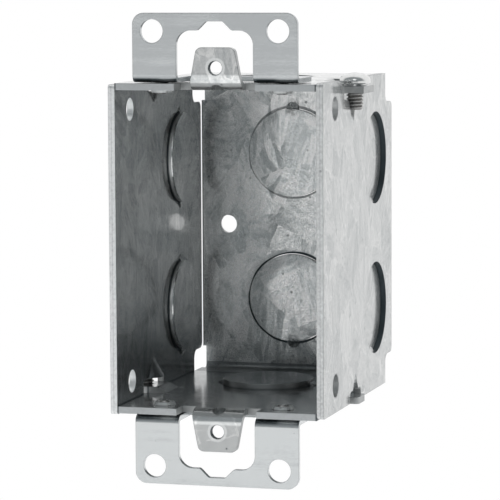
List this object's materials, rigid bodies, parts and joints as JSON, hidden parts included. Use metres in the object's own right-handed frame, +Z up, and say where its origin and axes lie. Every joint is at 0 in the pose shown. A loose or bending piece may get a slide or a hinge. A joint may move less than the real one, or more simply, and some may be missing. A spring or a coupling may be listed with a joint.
{
  "type": "switch box",
  "caption": "Steel wiring box, open at the front, for a switch or receptacle in a wall, with removable side plates, knockouts for conduit or cable and sliding ears.",
  "frame": {"origin": "midway between the two device screw holes, on the front face of the device tabs", "axes": "+X to the right across the opening, +Y into the depth of the box, +Z up along the line of the device screws"},
  "size_m": [0.0592, 0.0698, 0.1084],
  "materials": {
    "galvanised_sheet": "hot-dip galvanised, spangled",
    "ear_sheet": "galvanised, fine grain",
    "zinc_screw": "bright zinc plated"
  },
  "bodies": {
    "box": {"box_body": "galvanised_sheet", "right_side_plate": "galvanised_sheet", "left_side_plate": "galvanised_sheet"},
    "top_ear": {"top_ear": "ear_sheet"},
    "bottom_ear": {"bottom_ear": "ear_sheet"},
    "right_side_screw": {"right_side_screw": "zinc_screw"},
    "left_side_screw": {"left_side_screw": "zinc_screw"},
    "top_left_ear_screw": {"top_left_ear_screw": "zinc_screw"},
    "top_right_ear_screw": {"top_right_ear_screw": "zinc_screw"},
    "bottom_right_ear_screw": {"bottom_right_ear_screw": "zinc_screw"},
    "bottom_left_ear_screw": {"bottom_left_ear_screw": "zinc_screw"}
  },
  "joints": [
    {"name": "top_ear_slide", "type": "slide", "parent": "box", "child": "top_ear", "axis": [0, -1, 0], "range_m": [-0.0005, 0.004]},
    {"name": "bottom_ear_slide", "type": "slide", "parent": "box", "child": "bottom_ear", "axis": [0, -1, 0], "range_m": [-0.0005, 0.004]},
    {"name": "right_side_screw_turn", "type": "hinge", "parent": "box", "child": "right_side_screw", "pos_m": [0.026, 0.0269, 0.0368], "axis": [0, 0, 1], "continuous": true},
    {"name": "left_side_screw_turn", "type": "hinge", "parent": "box", "child": "left_side_screw", "pos_m": [-0.026, 0.0269, -0.0368], "axis": [0, 0, -1], "continuous": true},
    {"name": "top_left_ear_screw_turn", "type": "hinge", "parent": "box", "child": "top_left_ear_screw", "pos_m": [-0.0143, 0.0051, 0.0395], "axis": [0, 0, 1], "continuous": true},
    {"name": "top_right_ear_screw_turn", "type": "hinge", "parent": "box", "child": "top_right_ear_screw", "pos_m": [0.0143, 0.0051, 0.0395], "axis": [0, 0, 1], "continuous": true},
    {"name": "bottom_right_ear_screw_turn", "type": "hinge", "parent": "box", "child": "bottom_right_ear_screw", "pos_m": [0.0143, 0.0051, -0.0395], "axis": [0, 0, -1], "continuous": true},
    {"name": "bottom_left_ear_screw_turn", "type": "hinge", "parent": "box", "child": "bottom_left_ear_screw", "pos_m": [-0.0143, 0.0051, -0.0395], "axis": [0, 0, -1], "continuous": true}
  ]
}
